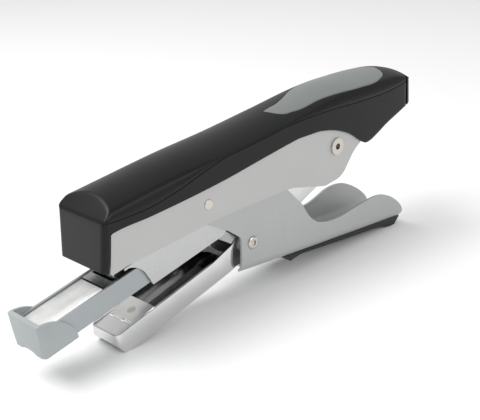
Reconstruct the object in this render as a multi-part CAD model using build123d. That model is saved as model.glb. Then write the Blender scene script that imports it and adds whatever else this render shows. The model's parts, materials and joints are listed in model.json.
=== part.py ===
from build123d import *
import math
import os

# Plier stapler with a front-loading staple drawer, drawer pulled out, jaws open.
# Millimetres, +Z up, the stapler lies along X with its nose towards -X.
# Side outlines are (x, z, corner radius), with x measured back from the tip of the anvil arm.
# The exported parts are moved so that the origin is the bottom centre of the whole object.

# Overall length, from the front of the open drawer's cap to the tail of the handle
CAP_FRONT_X = -34.80
TAIL_X = 150.2
MIDDLE_X = (CAP_FRONT_X + TAIL_X) / 2

# Half widths of the nested sheet-metal walls, inside and outside faces
ARM_IN, ARM_OUT = 6.65, 7.4
DRAWER_IN, DRAWER_OUT = 6.7, 7.5
HOUSING_IN, HOUSING_OUT = 7.8, 8.6
LEVER_IN, LEVER_OUT = 9.2, 10.1
FRAME_IN, FRAME_OUT = 10.5, 11.4
CASING_IN = 11.5

# Pivots and the cross pin of the upper frame, as (x, z)
MAIN_PIVOT = (103.5, 46.8)
LEVER_PIVOT = (57.7, 21.5)
CAM_PIN = (36.3, 43.3)
PIVOT_RADIUS = 2.5
CAM_PIN_RADIUS = 1.5
RUNNING_GAP = 0.05

# Travel of the lever and of the upper frame in degrees, both closing about -Y
SQUEEZE = 21.0
JAW_CLOSE = 8.7

# Magazine: the driver plane crosses the top of the drawer's rails here
DRIVER_X = -2.0
DRIVER_Z = 27.14
MAGAZINE_SLOPE = 12.0
RAIL_HEIGHT = 8.0
DRAWER_TRAVEL = 30.3
DRAWER_REAR = 20.6
ROOF_HEIGHT = 3.3
SHEET = 0.8

# Staples
CROWN_HALF = 6.45
WIRE = 0.5
LEG = 6.0
STRIP_LENGTH = 24.2
STRIP_FRONT = 0.7 - DRAWER_TRAVEL
STRIP_REAR = STRIP_FRONT + STRIP_LENGTH
PUSHER_FRONT, PUSHER_REAR = -4.8, 18.0
PUSHER_HALF = 6.4
PUSHER_SHEET = 0.5
DRIVER_THICK = 0.6
DRIVER_S = 0.15
DRIVER_HALF = 5.5

SIDE = Plane(origin=(-MIDDLE_X, 0, 0), x_dir=(1, 0, 0), z_dir=(0, -1, 0))
SLOPE = math.radians(MAGAZINE_SLOPE)
MAGAZINE = Plane(
    origin=(DRIVER_X - MIDDLE_X, 0, DRIVER_Z),
    x_dir=(math.cos(SLOPE), 0, math.sin(SLOPE)),
    z_dir=(0, -1, 0),
)


def face_of(points):
    corners = [(x, z) for x, z, _ in points]
    radii = [radius for _, _, radius in points]
    return make_face(FilletPolyline(corners, radius=radii, close=True))


def slab(plane, sketch, y_low, y_high):
    """Side outline drawn on plane, as thick as the stretch from y_low to y_high."""
    return extrude(plane.offset(-y_high) * sketch, amount=y_high - y_low)


def block(plane, low, high, y_low, y_high):
    """Rectangle between two corners on plane, from y_low to y_high."""
    width, height = high[0] - low[0], high[1] - low[1]
    centre = Pos((low[0] + high[0]) / 2, (low[1] + high[1]) / 2)
    return slab(plane, centre * Rectangle(width, height), y_low, y_high)


def bar(centre, radius, y_low, y_high, plane=SIDE):
    """Round bar along Y."""
    return slab(plane, Pos(*centre) * Circle(radius), y_low, y_high)


def both_sides(shape):
    return shape + mirror(shape, about=Plane.XZ)


def turned(point, centre, degrees):
    """Point turned about centre the way that closes the jaws."""
    angle = math.radians(degrees)
    x, z = point[0] - centre[0], point[1] - centre[1]
    turned_x = centre[0] + x * math.cos(angle) - z * math.sin(angle)
    turned_z = centre[1] + x * math.sin(angle) + z * math.cos(angle)
    return turned_x, turned_z


def coil(plane_origin, axis, radius, wire, height, turns):
    """Compression spring standing on plane_origin along axis."""
    path = Helix(pitch=height / turns, height=height, radius=radius)
    section = Plane(origin=path @ 0, z_dir=path % 0) * Circle(wire / 2)
    return Plane(origin=plane_origin, z_dir=axis) * sweep(section, path=path)


def round_long_edges(solid, radius, keep):
    """Round the edges that run along the side faces and pass the keep test on (x, z)."""
    limit = solid.bounding_box().max.Y - 0.01
    chosen = []
    for edge in solid.edges():
        middle = edge.center()
        if abs(middle.Y) > limit and keep(middle.X + MIDDLE_X, middle.Z):
            chosen.append(edge)
    return fillet(chosen, radius)


# ---------------------------------------------------------------- anvil arm (fixed body)

ARM_SHEET = ARM_OUT - ARM_IN
ANVIL_FRONT = (-3.9, 6.55)
ANVIL_REAR = (12.6, 11.75)
ARM_OUTLINE = [
    (-4.9, 7.0, 0.3), (-4.6, 3.4, 1.5), (-1.6, 0.0, 1.5), (1.6, 0.0, 3.0), (48.5, 12.2, 12.0),
    (86.3, 27.3, 20.0), (98.0, 32.2, 6.0), (110.6, 42.0, 5.5), (110.6, 52.4, 5.5),
    (98.5, 52.4, 5.0), (92.0, 41.5, 6.0), (64.0, 32.4, 4.0), (53.5, 28.0, 3.0),
    (50.6, 22.6, 4.0), (40.0, 18.4, 10.0), (16.0, 12.3, 8.0),
]


ARM_BEND = 1.5


def arm_shape(half_width, bend):
    """Solid arm with its lower edges bent over the whole length of the floor."""
    solid = slab(SIDE, face_of(ARM_OUTLINE), -half_width, half_width)
    return round_long_edges(solid, bend, lambda x, z: x < 92 and z < 6 + 0.28 * max(x, 0))


def anvil_arm():
    """Folded steel channel, open at the top, from the anvil tip up to the main pivot."""
    outer = arm_shape(ARM_OUT, ARM_BEND)
    inner = arm_shape(ARM_IN, ARM_BEND - ARM_SHEET)
    rear_opening = block(SIDE, (97.0, 20.0), (120.0, 60.0), -ARM_IN, ARM_IN)
    top_opening = block(SIDE, (-4.0, 6.0), (120.0, 60.0), -ARM_IN, ARM_IN)
    top_opening &= Pos(ARM_SHEET, 0, ARM_BEND) * slab(SIDE, face_of(ARM_OUTLINE), -ARM_IN, ARM_IN)
    arm = outer - Pos(ARM_SHEET, 0, ARM_SHEET) * inner - rear_opening - top_opening
    arm -= bar(MAIN_PIVOT, PIVOT_RADIUS, -ARM_OUT, ARM_OUT)
    arm -= bar(LEVER_PIVOT, PIVOT_RADIUS, -ARM_OUT, ARM_OUT)
    return arm


def anvil_plane():
    rise = math.atan2(ANVIL_REAR[1] - ANVIL_FRONT[1], ANVIL_REAR[0] - ANVIL_FRONT[0])
    origin = (ANVIL_FRONT[0] - MIDDLE_X, 0, ANVIL_FRONT[1])
    return Plane(origin=origin, x_dir=(math.cos(rise), 0, math.sin(rise)), z_dir=(0, -1, 0))


ANVIL_LENGTH = math.dist(ANVIL_FRONT, ANVIL_REAR)
ANVIL_THICK = 1.2
GROOVE_AT = 7.1
RIVET_AT = 12.2
ANVIL_RIVET_RADIUS = 1.6


def anvil_plate():
    """Hard plate inside the tip of the arm, with two clinching grooves across it."""
    plane = anvil_plane()
    half = ARM_IN - 0.05
    plate = block(plane, (0.3, -ANVIL_THICK), (ANVIL_LENGTH, 0), -half, half)
    for side in (-1, 1):
        groove = bar((GROOVE_AT, 0.35), 0.9, 0.6, 5.4, plane)
        plate -= groove if side > 0 else mirror(groove, about=Plane.XZ)
    support = block(plane, (7.0, -3.2), (ANVIL_LENGTH - 2.0, -ANVIL_THICK), -3.0, 3.0)
    return (plate + support) - anvil_rivet()


def anvil_rivet():
    """Flush round rivet that holds the anvil plate."""
    plane = anvil_plane()
    standing = Plane(origin=plane.from_local_coords((RIVET_AT, 0, 0)), z_dir=plane.y_dir)
    return extrude(standing * Circle(ANVIL_RIVET_RADIUS), amount=-2.2)


def paper_stop():
    """Folded cross tab between the arm's walls where the edge of the paper comes to rest."""
    outline = [(46.6, 20.4, 0), (50.4, 22.3, 0), (51.6, 25.6, 0), (51.6, 15.2, 0), (50.8, 15.2, 0),
               (50.8, 21.6, 0), (46.9, 19.7, 0)]
    return slab(SIDE, face_of(outline), -ARM_IN, ARM_IN)


def main_pivot():
    """Hollow rivet through the whole stack at the rear."""
    shank = bar(MAIN_PIVOT, PIVOT_RADIUS - RUNNING_GAP, -FRAME_OUT, FRAME_OUT)
    rim = both_sides(bar(MAIN_PIVOT, 3.3, FRAME_OUT + RUNNING_GAP, FRAME_OUT + 0.75))
    neck = both_sides(bar(MAIN_PIVOT, PIVOT_RADIUS - RUNNING_GAP, FRAME_OUT - 1, FRAME_OUT + 0.75))
    hollow = both_sides(bar(MAIN_PIVOT, 1.2, FRAME_OUT - 2.5, FRAME_OUT + 1))
    return shank + rim + neck - hollow


def lever_pivot():
    """Solid rivet that carries the hand lever, with a recessed domed head each side."""
    shank = bar(LEVER_PIVOT, PIVOT_RADIUS - RUNNING_GAP, -LEVER_OUT - 0.2, LEVER_OUT + 0.2)
    head = bar(LEVER_PIVOT, 3.2, LEVER_OUT + RUNNING_GAP, LEVER_OUT + 1.05)
    head = fillet(head.faces().sort_by(Axis.Y)[-1].edges(), 0.7)
    head -= bar(LEVER_PIVOT, 1.2, LEVER_OUT + 0.45, LEVER_OUT + 2)
    return shank + both_sides(head)


def spacer(centre, radius, y_low, y_high):
    return bar(centre, radius, y_low, y_high) - bar(centre, PIVOT_RADIUS, y_low - 1, y_high + 1)


def pivot_spacer():
    """Tube between the arm's walls on the main pivot."""
    return spacer(MAIN_PIVOT, 3.4, -ARM_IN + 0.05, ARM_IN - 0.05)


def lever_spacer():
    """Tube between the arm's walls on the lever pivot."""
    return spacer(LEVER_PIVOT, 3.4, -ARM_IN + 0.05, ARM_IN - 0.05)


def pivot_washers():
    """Washers that fill the step from the magazine housing to the frame plates."""
    return both_sides(spacer(MAIN_PIVOT, 4.5, HOUSING_OUT + 0.1, FRAME_IN - 0.1))


def lever_washers():
    """Washers that fill the step from the arm to the lever."""
    return both_sides(spacer(LEVER_PIVOT, 4.2, ARM_OUT + 0.05, LEVER_IN - 0.1))


SPRING_X = 87.5
SPRING_SEAT_Z = 34.0
SPRING_RADIUS = 3.4


def spring_seat():
    """Cup riveted to the arm's floor, under the return spring."""
    outline = [(83.4, 26.9, 0), (91.8, 30.4, 0), (91.8, SPRING_SEAT_Z, 0.6), (83.4, SPRING_SEAT_Z, 0.6)]
    return slab(SIDE, face_of(outline), -5.2, 5.2)


def return_spring():
    """Compression spring that opens the jaws, between the arm and the frame's web."""
    height = web_underside(SPRING_X) - SPRING_SEAT_Z - 1.4
    origin = (SPRING_X - MIDDLE_X, 0, SPRING_SEAT_Z + 0.6)
    return coil(origin, (0, 0, 1), SPRING_RADIUS, 0.9, height, 6)


# ---------------------------------------------------------------- hand lever

LEVER_SHEET = LEVER_OUT - LEVER_IN
LEVER_BEND = 4.0
LEVER_FLOOR = [(40.0, 13.85), (106.0, 6.5), (160.0, 3.0)]
LEVER_OUTLINE = [
    (49.2, 12.6, 1.6), (106.0, 6.2, 0), (147.2, 3.4, 1.5), (148.4, 7.4, 3.0),
    (141.0, 15.6, 9.0), (124.0, 20.4, 14.0), (105.0, 15.0, 13.0), (91.5, 16.5, 9.0),
    (85.0, 28.0, 0), (72.0, 41.5, 4.0), (47.0, 38.5, 5.0), (43.0, 48.2, 4.2), (31.8, 49.2, 4.4),
    (31.2, 38.4, 4.2), (46.2, 29.8, 5.0), (51.8, 26.0, 3.0),
]


def lever_trough(inset):
    """Straight-sided trough with rounded lower corners that follows the lever's floor."""
    half = LEVER_OUT - inset
    depth = 60.0
    sections = []
    for x, z in LEVER_FLOOR:
        plane = Plane(origin=(x - MIDDLE_X, 0, z + inset), x_dir=(0, 1, 0), z_dir=(1, 0, 0))
        corners = [(-half, 0), (half, 0), (half, depth), (-half, depth)]
        bend = LEVER_BEND - inset
        sections.append(plane * make_face(FilletPolyline(corners, radius=[bend, bend, 0, 0], close=True)))
    return loft(sections, ruled=True)


def lever_path(steps=6):
    """Where the frame's cross pin is in the lever's own frame, over the whole squeeze."""
    points = []
    for step in range(steps + 1):
        share = step / steps
        pin = turned(CAM_PIN, MAIN_PIVOT, JAW_CLOSE * share)
        points.append(turned(pin, LEVER_PIVOT, -SQUEEZE * share))
    return points


def cam_slot():
    """Slot that the cross pin slides in, along the computed path."""
    radius = CAM_PIN_RADIUS + 0.35
    points = lever_path()
    slot = bar(points[0], radius, -LEVER_OUT - 1, LEVER_OUT + 1)
    for start, end in zip(points, points[1:]):
        run = math.dist(start, end)
        plane_angle = math.degrees(math.atan2(end[1] - start[1], end[0] - start[0]))
        place = Pos((start[0] + end[0]) / 2, (start[1] + end[1]) / 2) * Rot(0, 0, plane_angle)
        slot += slab(SIDE, place * Rectangle(run, 2 * radius), -LEVER_OUT - 1, LEVER_OUT + 1)
        slot += bar(end, radius, -LEVER_OUT - 1, LEVER_OUT + 1)
    return slot


def hand_lever():
    """Folded steel lever: two cheeks on a rounded floor, with front arms up into the frame."""
    folded = lever_trough(0) - lever_trough(LEVER_SHEET)
    lever = folded & slab(SIDE, face_of(LEVER_OUTLINE), -LEVER_OUT - 1, LEVER_OUT + 1)
    lever -= block(SIDE, (20.0, 5.0), (56.5, 60.0), -LEVER_IN, LEVER_IN)
    lever -= bar(LEVER_PIVOT, PIVOT_RADIUS, -LEVER_OUT, LEVER_OUT)
    return lever - cam_slot()


def lever_pad():
    """Rubber pad under the lever, with a foot at each end; the rear foot stands on the ground."""
    outline = [
        (73.6, 10.3, 0), (78.0, 6.7, 0.6), (84.4, 7.4, 4.0), (106.0, 5.2, 30.0), (134.0, 2.9, 8.0),
        (140.3, 0.0, 0.6), (144.0, 0.0, 1.2), (146.8, 4.4, 0.4), (146.0, 8.0, 0), (73.6, 14.0, 0),
    ]
    return slab(SIDE, face_of(outline), -8.0, 8.0) - lever_trough(0)


# ---------------------------------------------------------------- upper frame and handle

FRAME_SHEET = FRAME_OUT - FRAME_IN
WEB_LINE = [(-4.5, 50.6), (30.0, 53.2), (62.0, 57.0), (90.0, 59.4), (112.0, 56.0)]


def web_top(x):
    """Height of the frame's web, hidden under the handle."""
    for (x0, z0), (x1, z1) in zip(WEB_LINE, WEB_LINE[1:]):
        if x <= x1:
            return z0 + (z1 - z0) * (x - x0) / (x1 - x0)
    return WEB_LINE[-1][1]


def web_underside(x):
    return web_top(x) - FRAME_SHEET


def web_run():
    return [(x, z, 0) for x, z in WEB_LINE]


FRAME_LOWER = [
    (-7.1, 31.8, 0.8), (-0.2, 33.2, 20.0), (22.3, 35.0, 40.0), (40.0, 36.8, 40.0), (78.0, 37.1, 14.0),
    (96.5, 32.4, 7.0), (106.5, 33.6, 9.0), (113.5, 42.0, 12.0), (118.6, 45.4, 3.0),
]


def frame_plate_outline():
    return FRAME_LOWER + [(120.5, 50.5, 3.0)] + web_run()[::-1] + [(-5.4, 46.0, 0)]


def upper_frame():
    """Two steel side plates joined by a web, folded in at the nose."""
    plate = slab(SIDE, face_of(frame_plate_outline()), FRAME_IN, FRAME_OUT)
    top = web_run()
    under = [(x, z - FRAME_SHEET, 0) for x, z in WEB_LINE]
    web = slab(SIDE, face_of(top + under[::-1]), -FRAME_OUT, FRAME_OUT)
    fold = [(-7.1, 32.4, 0), (-6.2, 32.6, 0), (-4.4, 46.5, 0), (-5.3, 46.5, 0)]
    flange = slab(SIDE, face_of(fold), 9.1, FRAME_OUT)
    frame = both_sides(plate + flange) + web
    frame -= bar(MAIN_PIVOT, PIVOT_RADIUS, -FRAME_OUT - 1, FRAME_OUT + 1)
    frame -= bar(CAM_PIN, CAM_PIN_RADIUS, -FRAME_OUT - 1, FRAME_OUT + 1)
    for x in SCREW_X:
        frame -= screw_hole(x)
    return frame - block(SIDE, (DRIVER_X - 3.6, 48.0), (DRIVER_X - 1.2, 56.0), -DRIVER_HALF - 1,
                         DRIVER_HALF + 1)


def cam_pin():
    """Cross pin of the frame that runs in the lever's slots, with a low domed head each side."""
    shank = bar(CAM_PIN, CAM_PIN_RADIUS, -FRAME_OUT, FRAME_OUT)
    head = bar(CAM_PIN, 1.9, FRAME_OUT, FRAME_OUT + 0.35)
    return shank + both_sides(fillet(head.faces().sort_by(Axis.Y)[-1].edges(), 0.25))


SCREW_X = (18.0, 56.0)


def screw_axis(x, z):
    return Plane(origin=(x - MIDDLE_X, 0, z), z_dir=(0, 0, 1))


def screw_hole(x):
    return extrude(screw_axis(x, web_top(x) - 4.0) * Circle(1.2), amount=8.0)


def casing_screws():
    """Screws from under the web up into the handle's bosses."""
    group = []
    for x in SCREW_X:
        base = web_underside(x) - 0.35
        shank = extrude(screw_axis(x, base) * Circle(1.15), amount=6.0)
        head = extrude(screw_axis(x, base) * Circle(2.3), amount=-1.4)
        slot = Pos(x - MIDDLE_X, 0, base - 1.4) * Box(3.0, 0.6, 1.0)
        group.append(shank + head - slot)
    return Compound(children=group)


# Handle casing: (x, half width at the shoulder, shoulder height, top height, half width low)
CASING_STATIONS = [
    (-14.0, 12.9, 50.9, 55.3, 12.0), (8.0, 12.9, 51.2, 58.2, 12.0), (24.0, 12.9, 53.4, 60.2, 12.0),
    (46.0, 12.9, 58.6, 62.2, 12.0), (76.0, 12.9, 61.9, 65.6, 12.0), (104.0, 12.9, 62.8, 68.9, 12.0),
    (128.0, 12.8, 62.4, 69.2, 11.9), (144.0, 12.2, 63.0, 68.2, 11.3), (150.2, 10.6, 62.6, 65.4, 9.8),
]
CROWN_RADIUS = 30.0
CROWN_SHARE = 0.9
CASING_WALL = 1.5
CASING_FLOOR_Z = 30.0
NOSE_FOOT = (-10.4, 33.8)
NOSE_NOTCH_HALF = 8.2
NOSE_NOTCH_Z = 34.0
NOSE_NOTCH_X = -6.5
NOSE_BROW = (-8.8, 50.9)
CASING_ROOF_Z = 75.0
NOSE_ROOF_X = NOSE_BROW[0] + CASING_ROOF_Z - NOSE_BROW[1]
CASING_LOWER = [
    (*NOSE_FOOT, 0.4), (-7.9, 33.0, 0), (-6.0, 46.4, 1.6), (10.3, 47.5, 0), (34.0, 49.2, 30.0),
    (62.0, 52.8, 30.0), (88.0, 56.6, 16.0), (104.0, 53.0, 20.0), (119.6, 43.4, 3.0),
    (130.0, 47.6, 14.0), (150.6, 54.0, 2.0), (151.5, 66.0, 0), (151.5, CASING_ROOF_Z, 0),
    (NOSE_ROOF_X, CASING_ROOF_Z, 0), (*NOSE_BROW, 0.5),
]


def casing_section(x, half, shoulder, top, low, inset):
    """Cross-section of the handle: flat cheeks, a bevelled shoulder and a crowned top."""
    half, low, top = half - inset, low - inset, top - inset
    edge = half * CROWN_SHARE
    edge_top = top - CROWN_RADIUS + math.sqrt(CROWN_RADIUS ** 2 - edge ** 2)
    crown = ThreePointArc((edge, edge_top), (0, top), (-edge, edge_top))
    cheeks = Polyline((-edge, edge_top), (-half, shoulder), (-low, CASING_FLOOR_Z),
                      (low, CASING_FLOOR_Z), (half, shoulder), (edge, edge_top))
    plane = Plane(origin=(x - MIDDLE_X, 0, 0), x_dir=(0, 1, 0), z_dir=(1, 0, 0))
    return plane * make_face(crown + cheeks)


def casing_body(inset, rear):
    """Loft of the handle from ahead of its nose to its tail, set in by inset all round."""
    sections = []
    for index, (x, half, shoulder, top, low) in enumerate(CASING_STATIONS):
        if index == len(CASING_STATIONS) - 1:
            x -= rear
        sections.append(casing_section(x, half, shoulder, top, low, inset))
    return loft(sections)


def nose_cut(inset):
    """Everything behind the nose's front wall and the bevel above it, moved back by inset."""
    lean = (NOSE_BROW[0] - NOSE_FOOT[0]) / (NOSE_BROW[1] - NOSE_FOOT[1])
    low = 20.0
    foot_x = NOSE_BROW[0] - lean * (NOSE_BROW[1] - low)
    outline = [(foot_x, low, 0), (*NOSE_BROW, 0), (NOSE_ROOF_X, CASING_ROOF_Z, 0),
               (160.0, CASING_ROOF_Z, 0), (160.0, low, 0)]
    bevel_drop = inset * (math.sqrt(2) - 1)
    return Pos(inset, 0, -bevel_drop) * slab(SIDE, face_of(outline), -20, 20)


GRIP_DEPTH = 1.0
GRIP_TIP_X, GRIP_TAIL_X = 75.6, 140.6
GRIP_LEFT = [(77.0, 5.0), (83.0, 8.4), (97.0, 9.3), (117.0, 11.4), (132.0, 10.2), (138.4, 5.6)]
GRIP_RIGHT = [(83.6, 1.4), (89.5, 3.5), (98.0, 7.6), (117.0, 11.4), (132.0, 10.2), (138.4, 5.6)]
POST_RADIUS = 3.0


def grip_region():
    """Swoosh-shaped plan of the soft grip: full on the left of its tip, drawn out on the right."""
    tip = (GRIP_TIP_X, 0)
    left = [(x, -y) for x, y in GRIP_LEFT]
    round_trip = [tip] + left + [(GRIP_TAIL_X, 0)] + GRIP_RIGHT[::-1] + [tip]
    edge = Spline(*[(x - MIDDLE_X, y) for x, y in round_trip])
    return extrude(Plane.XY.offset(60.0) * make_face(edge), amount=15.0)


def handle_casing():
    """Moulded shell over the frame, open underneath."""
    body = casing_body(0, 0)
    outer = body & slab(SIDE, face_of(CASING_LOWER), -20, 20)
    core = casing_body(CASING_WALL, CASING_WALL) & nose_cut(CASING_WALL)
    shell = outer - (core - block(SIDE, (-20, 20), (160, CASING_FLOOR_Z), -20, 20))
    hollow = slab(SIDE, face_of(frame_plate_outline()), -CASING_IN, CASING_IN)
    shell -= hollow
    notch_low = (NOSE_FOOT[0] - 1, CASING_FLOOR_Z)
    shell -= block(SIDE, notch_low, (NOSE_NOTCH_X, NOSE_NOTCH_Z), -NOSE_NOTCH_HALF, NOSE_NOTCH_HALF)
    for x in SCREW_X:
        foot = web_top(x + POST_RADIUS)
        post = extrude(screw_axis(x, foot) * Circle(POST_RADIUS), amount=casing_top(x) - 0.5 - foot)
        post -= extrude(screw_axis(x, foot) * Circle(1.15), amount=5.0)
        shell += post
    return shell - (grip_region() & (outer - Pos(0, 0, -GRIP_DEPTH) * body))


def casing_top(x):
    stations = [(s[0], s[3]) for s in CASING_STATIONS]
    for (x0, z0), (x1, z1) in zip(stations, stations[1:]):
        if x <= x1:
            return z0 + (z1 - z0) * (x - x0) / (x1 - x0)
    return stations[-1][1]


def grip_inlay():
    """Soft grip let into the top of the handle."""
    body = casing_body(0, 0)
    return (body - Pos(0, 0, -GRIP_DEPTH) * body) & grip_region()


def driver_blade():
    """Blade that pushes the front staple down, folded back under the web at its top."""
    top = web_underside(DRIVER_X) + 0.3
    s_top = (top - DRIVER_Z) / math.cos(SLOPE)
    front, back = DRIVER_S - DRIVER_THICK / 2, DRIVER_S + DRIVER_THICK / 2
    return block(MAGAZINE, (front, 0.35), (back, s_top - 0.6), -DRIVER_HALF, DRIVER_HALF)


def driver_holder():
    """Bracket riveted under the web, which clamps the top of the blade."""
    s_top = (web_underside(DRIVER_X) - DRIVER_Z) / math.cos(SLOPE)
    back = DRIVER_S + DRIVER_THICK / 2
    body = block(MAGAZINE, (back, s_top - 6.5), (10.0, s_top + 3.0), -7.0, 7.0)
    room = [(-8.0, 30.0, 0), (30.0, 30.0, 0), (30.0, web_underside(30.0), 0),
            (-4.5, web_underside(-4.5), 0), (-8.0, web_underside(-4.5), 0)]
    return body & slab(SIDE, face_of(room), -8.0, 8.0)


MAGAZINE_SPRING_S = 26.0
MAGAZINE_SPRING_RADIUS = 3.2


def magazine_spring():
    """Compression spring between the web and the magazine's roof."""
    foot = MAGAZINE.from_local_coords((MAGAZINE_SPRING_S, ROOF_HEIGHT + 0.6, 0))
    nose_x = foot.X + MIDDLE_X
    height = (web_underside(nose_x) - foot.Z) / math.cos(SLOPE) - 2.6
    return coil(foot, MAGAZINE.y_dir, MAGAZINE_SPRING_RADIUS, 0.8, height, 5)


# ---------------------------------------------------------------- magazine

HOUSING_REAR = 84.0


def magazine_pivot():
    """Main pivot in the magazine's own directions: along the rails and square to them."""
    x, z = MAIN_PIVOT[0] - DRIVER_X, MAIN_PIVOT[1] - DRIVER_Z
    along = x * math.cos(SLOPE) + z * math.sin(SLOPE)
    return along, z * math.cos(SLOPE) - x * math.sin(SLOPE)


def magazine_housing():
    """Inverted channel over the drawer, pivoted at the rear."""
    along, across = magazine_pivot()
    low = -RAIL_HEIGHT - 0.75
    wall = [
        (3.0, ROOF_HEIGHT, 0), (9.4, 0.6, 9.0), (12.3, low, 0), (46.0, low, 3.0),
        (54.0, -4.6, 6.0), (along, -8.4, 5.6), (along + 6.0, across, 5.0),
        (along, ROOF_HEIGHT - 0.4, 5.0), (HOUSING_REAR, ROOF_HEIGHT, 0),
    ]
    cheek = slab(MAGAZINE, face_of(wall), HOUSING_IN, HOUSING_OUT)
    lip = block(MAGAZINE, (13.0, low), (45.0, low + 0.6), 7.0, HOUSING_IN + 0.1)
    lance = block(MAGAZINE, (14.0, 0.2), (60.0, 1.0), 6.9, HOUSING_IN + 0.1)
    roof = block(MAGAZINE, (3.0, ROOF_HEIGHT - SHEET), (HOUSING_REAR, ROOF_HEIGHT),
                 -HOUSING_OUT, HOUSING_OUT)
    housing = both_sides(cheek + lip + lance) + roof
    window = block(SIDE, (CAM_PIN[0] - 5.0, 36.0), (CAM_PIN[0] + 6.5, 46.0), -9.0, 9.0)
    housing -= bar((along, across), PIVOT_RADIUS, -9.0, 9.0, MAGAZINE)
    return housing - window


ROD_T = -4.6


def pusher_stop():
    """Cross wall at the rear of the magazine that carries the guide rod and the spring."""
    wall = block(MAGAZINE, (HOUSING_REAR - 5.0, ROD_T - 3.4), (HOUSING_REAR - 3.8, ROOF_HEIGHT - SHEET),
                 -6.3, 6.3)
    ears = block(MAGAZINE, (HOUSING_REAR - 5.0, ROOF_HEIGHT - SHEET - 1.6),
                 (HOUSING_REAR - 3.8, ROOF_HEIGHT - SHEET), -HOUSING_IN, HOUSING_IN)
    return wall + ears - rod(1.0, 60.0, HOUSING_REAR)


def rod(radius, start, end):
    origin = MAGAZINE.from_local_coords((start, ROD_T, 0))
    return extrude(Plane(origin=origin, z_dir=MAGAZINE.x_dir) * Circle(radius), amount=end - start)


ROD_FRONT = 24.0


def guide_rod():
    """Rod along the middle of the magazine; the pusher and its spring slide on it."""
    return rod(1.0, ROD_FRONT, HOUSING_REAR - 2.8)


# ---------------------------------------------------------------- pusher

def pusher():
    """Folded follower behind the staples, with a window that lets the driver through."""
    half = PUSHER_HALF
    top = block(MAGAZINE, (PUSHER_FRONT, -0.25 - PUSHER_SHEET), (PUSHER_REAR, -0.25), -half, half)
    leg = block(MAGAZINE, (PUSHER_FRONT, -6.6), (PUSHER_REAR, -0.25), half - PUSHER_SHEET, half)
    back = block(MAGAZINE, (PUSHER_REAR - 0.8, -6.9), (PUSHER_REAR, -0.25), -half, half)
    window = block(MAGAZINE, (-1.0, -1.0), (0.9, 0.0), -DRIVER_HALF - 0.3, DRIVER_HALF + 0.3)
    return top + both_sides(leg) + back - window - rod(1.1, PUSHER_REAR - 3.0, PUSHER_REAR + 3.0)


def pusher_spring():
    """Long light spring on the guide rod, between the pusher and the rear stop."""
    origin = MAGAZINE.from_local_coords((PUSHER_REAR + 0.5, ROD_T, 0))
    return coil(origin, MAGAZINE.x_dir, 1.75, 0.5, HOUSING_REAR - 6.2 - PUSHER_REAR, 26)


# ---------------------------------------------------------------- drawer

CAP_FRONT_S = -2.6 - DRAWER_TRAVEL
CAP_WALL = 1.5
CAP_INSIDE_S = CAP_FRONT_S + CAP_WALL
CAP_TOP = 3.0
CAP_LOW = -9.9
CAP_HALF = 8.5


def drawer_channel():
    """Channel that holds the staples, open at the top and at its front end."""
    wall = block(MAGAZINE, (CAP_INSIDE_S + 0.05, -RAIL_HEIGHT), (DRAWER_REAR, 0), DRAWER_IN, DRAWER_OUT)
    floor = block(MAGAZINE, (STRIP_FRONT, -RAIL_HEIGHT), (DRAWER_REAR, -RAIL_HEIGHT + SHEET),
                  -DRAWER_OUT, DRAWER_OUT)
    return both_sides(wall) + floor


def cap_outline():
    """Side view of the cap: upright front, quarter-round rear."""
    with BuildLine() as edge:
        front_low = (CAP_FRONT_S - 1.3, CAP_LOW + 0.9)
        front_top = (CAP_FRONT_S, CAP_TOP)
        Line(front_low, front_top)
        Line(front_top, (CAP_INSIDE_S, CAP_TOP))
        ThreePointArc((CAP_INSIDE_S, CAP_TOP), (-24.4, -0.95), (-20.3, -9.0))
        Line((-20.3, -9.0), (-21.1, CAP_LOW + 0.1))
        Line((-21.1, CAP_LOW + 0.1), (-32.6, CAP_LOW))
        Line((-32.6, CAP_LOW), front_low)
    return make_face(edge.line)


def drawer_cap():
    """Moulded finger pull on the front of the drawer, open at the top."""
    cap = slab(MAGAZINE, cap_outline(), -CAP_HALF, CAP_HALF)
    cap -= block(MAGAZINE, (CAP_INSIDE_S, -RAIL_HEIGHT), (0, 10.0), -DRAWER_OUT, DRAWER_OUT)
    cap -= block(MAGAZINE, (CAP_INSIDE_S, -12.0), (0, -RAIL_HEIGHT), -ARM_OUT - 0.35, ARM_OUT + 0.35)
    return cap - extrude(arch_plane() * Ellipse(4.6, 1.7), amount=12.0)


def arch_plane():
    origin = MAGAZINE.from_local_coords((CAP_FRONT_S - 4.0, CAP_LOW - 0.1, 0))
    return Plane(origin=origin, x_dir=(0, 1, 0), z_dir=MAGAZINE.x_dir)


def staple_core():
    """Core that the staples straddle, fixed to the drawer's floor."""
    low, high = -RAIL_HEIGHT + SHEET, -0.25 - WIRE - 0.05
    half = CROWN_HALF - WIRE - 0.15
    body = block(MAGAZINE, (STRIP_FRONT + 0.3, low), (STRIP_REAR, high), -half, half)
    return body - block(MAGAZINE, (STRIP_FRONT - 1, low - 1), (0, high - 1.2), -half + 1.4, half - 1.4)


def staple_strip():
    """Strip of staples: crowns across the top, a leg down each side of the core."""
    top = block(MAGAZINE, (STRIP_FRONT, -0.25 - WIRE), (STRIP_REAR, -0.25), -CROWN_HALF, CROWN_HALF)
    leg = block(MAGAZINE, (STRIP_FRONT, -0.25 - LEG), (STRIP_REAR, -0.25), CROWN_HALF - WIRE, CROWN_HALF)
    return top + both_sides(leg)


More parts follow.
